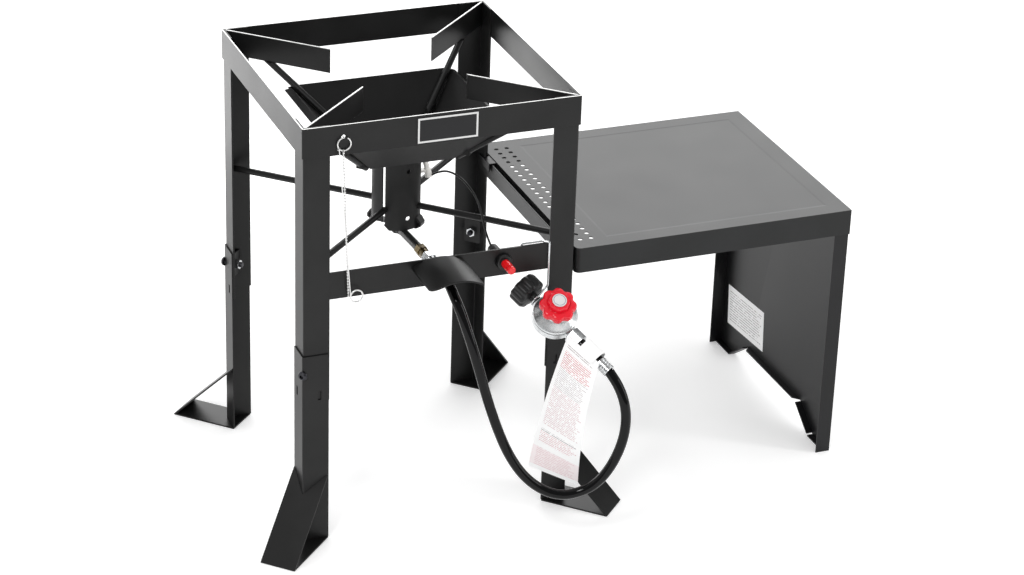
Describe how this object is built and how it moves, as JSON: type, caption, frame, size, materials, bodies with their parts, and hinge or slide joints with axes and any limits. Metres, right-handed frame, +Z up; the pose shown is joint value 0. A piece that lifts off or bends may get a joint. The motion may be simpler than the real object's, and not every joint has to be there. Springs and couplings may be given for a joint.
{
  "type": "propane burner stand",
  "caption": "Square steel stand with a tube propane burner and wind guard under pot supports, a hung regulator with hose, an igniter and a lift-off side table.",
  "frame": {"origin": "on the floor under the middle of the square frame, which the pot stands on", "axes": "+Z up, +X along the front towards the side table, -Y faces the front where the regulator hangs"},
  "size_m": [0.9231, 0.622, 0.642],
  "materials": {
    "powder_coat": "satin powder coat",
    "table_coat": "satin powder coat",
    "burner_black": "matt heat-proof black",
    "guard_steel": "matt heat-proof black",
    "brass": "machined",
    "zinc": "bright zinc plate",
    "nickel_wire": "nickel plate",
    "die_cast_zinc": "die-cast, tumbled",
    "red_knob": "gloss",
    "red_button": "gloss",
    "white_disc": "printed-free white",
    "hose_rubber": "satin",
    "black_plastic": "satin",
    "ceramic": "glazed ceramic",
    "paper": "plain paper",
    "name_plate": "satin",
    "black_bolt": "black zinc",
    "black_pipe": "satin black"
  },
  "bodies": {
    "stand": {"top_band": "powder_coat", "upper_leg_front_left": "powder_coat", "upper_leg_front_right": "powder_coat", "upper_leg_rear_left": "powder_coat", "upper_leg_rear_right": "powder_coat", "pot_support_front_left": "powder_coat", "pot_support_front_right": "powder_coat", "pot_support_rear_left": "powder_coat", "pot_support_rear_right": "powder_coat", "corner_braces": "powder_coat", "wind_guard": "guard_steel", "burner_arms": "powder_coat", "burner_tube": "burner_black", "burner_elbow": "black_pipe", "gas_jet": "brass", "flame_spreader": "burner_black", "gas_pipe": "black_pipe", "brass_coupling": "brass", "swivel_nut": "zinc", "hose_ferrules": "zinc", "gas_hose": "hose_rubber", "front_crossbar": "powder_coat", "hose_shield": "powder_coat", "igniter_body": "black_plastic", "igniter_collar": "black_plastic", "igniter_spring": "zinc", "ignition_wire": "black_plastic", "electrode": "ceramic", "name_plate": "name_plate", "side_rail": "powder_coat", "lower_leg_front_left": "powder_coat", "lower_leg_front_right": "powder_coat", "lower_leg_rear_left": "powder_coat", "lower_leg_rear_right": "powder_coat", "foot_front_left": "powder_coat", "foot_front_right": "powder_coat", "foot_rear_left": "powder_coat", "foot_rear_right": "powder_coat", "leg_clamp_plates": "powder_coat", "leg_bolts": "black_bolt", "leg_nuts": "zinc", "regulator_body": "die_cast_zinc", "regulator_bonnet": "die_cast_zinc", "regulator_diaphragm": "hose_rubber", "inlet_nipple": "black_pipe", "outlet_nut": "zinc", "outlet_sleeve": "hose_rubber", "hanger_wire": "zinc", "paper_tag": "paper"},
    "knob": {"regulator_knob": "red_knob", "knob_cap": "white_disc"},
    "hand_nut": {"coupling_nut": "black_plastic"},
    "button": {"igniter_button": "red_button"},
    "side_table": {"shelf_tray": "table_coat", "shelf_hooks": "table_coat", "end_panel": "table_coat", "panel_screws": "zinc"},
    "chain_set": {"chain_ring": "nickel_wire", "bead_chain": "nickel_wire", "match_holder": "nickel_wire"}
  },
  "joints": [
    {"name": "knob_turn", "type": "hinge", "parent": "stand", "child": "knob", "pos_m": [0.157, -0.233, 0.3235], "axis": [-0.1006, -0.5599, 0.8224], "range_deg": [0, 1080]},
    {"name": "hand_nut_turn", "type": "hinge", "parent": "stand", "child": "hand_nut", "pos_m": [0.157, -0.233, 0.3235], "axis": [0.4568, -0.7603, -0.4617], "continuous": true},
    {"name": "igniter_push", "type": "slide", "parent": "stand", "child": "button", "axis": [0, 1, 0], "range_m": [0, 0.006], "stiffness_N_per_m": 1500, "springref_m": -0.004, "deforming": ["igniter_spring"]},
    {"name": "side_table_lift", "type": "slide", "parent": "stand", "child": "side_table", "axis": [0, 0, 1], "range_m": [0, 0.025]},
    {"name": "match_chain", "type": "hinge", "parent": "stand", "child": "chain_set", "pos_m": [-0.145, -0.19225, 0.6244], "axis": [-1, 0, 0], "range_deg": [0, 40]}
  ]
}
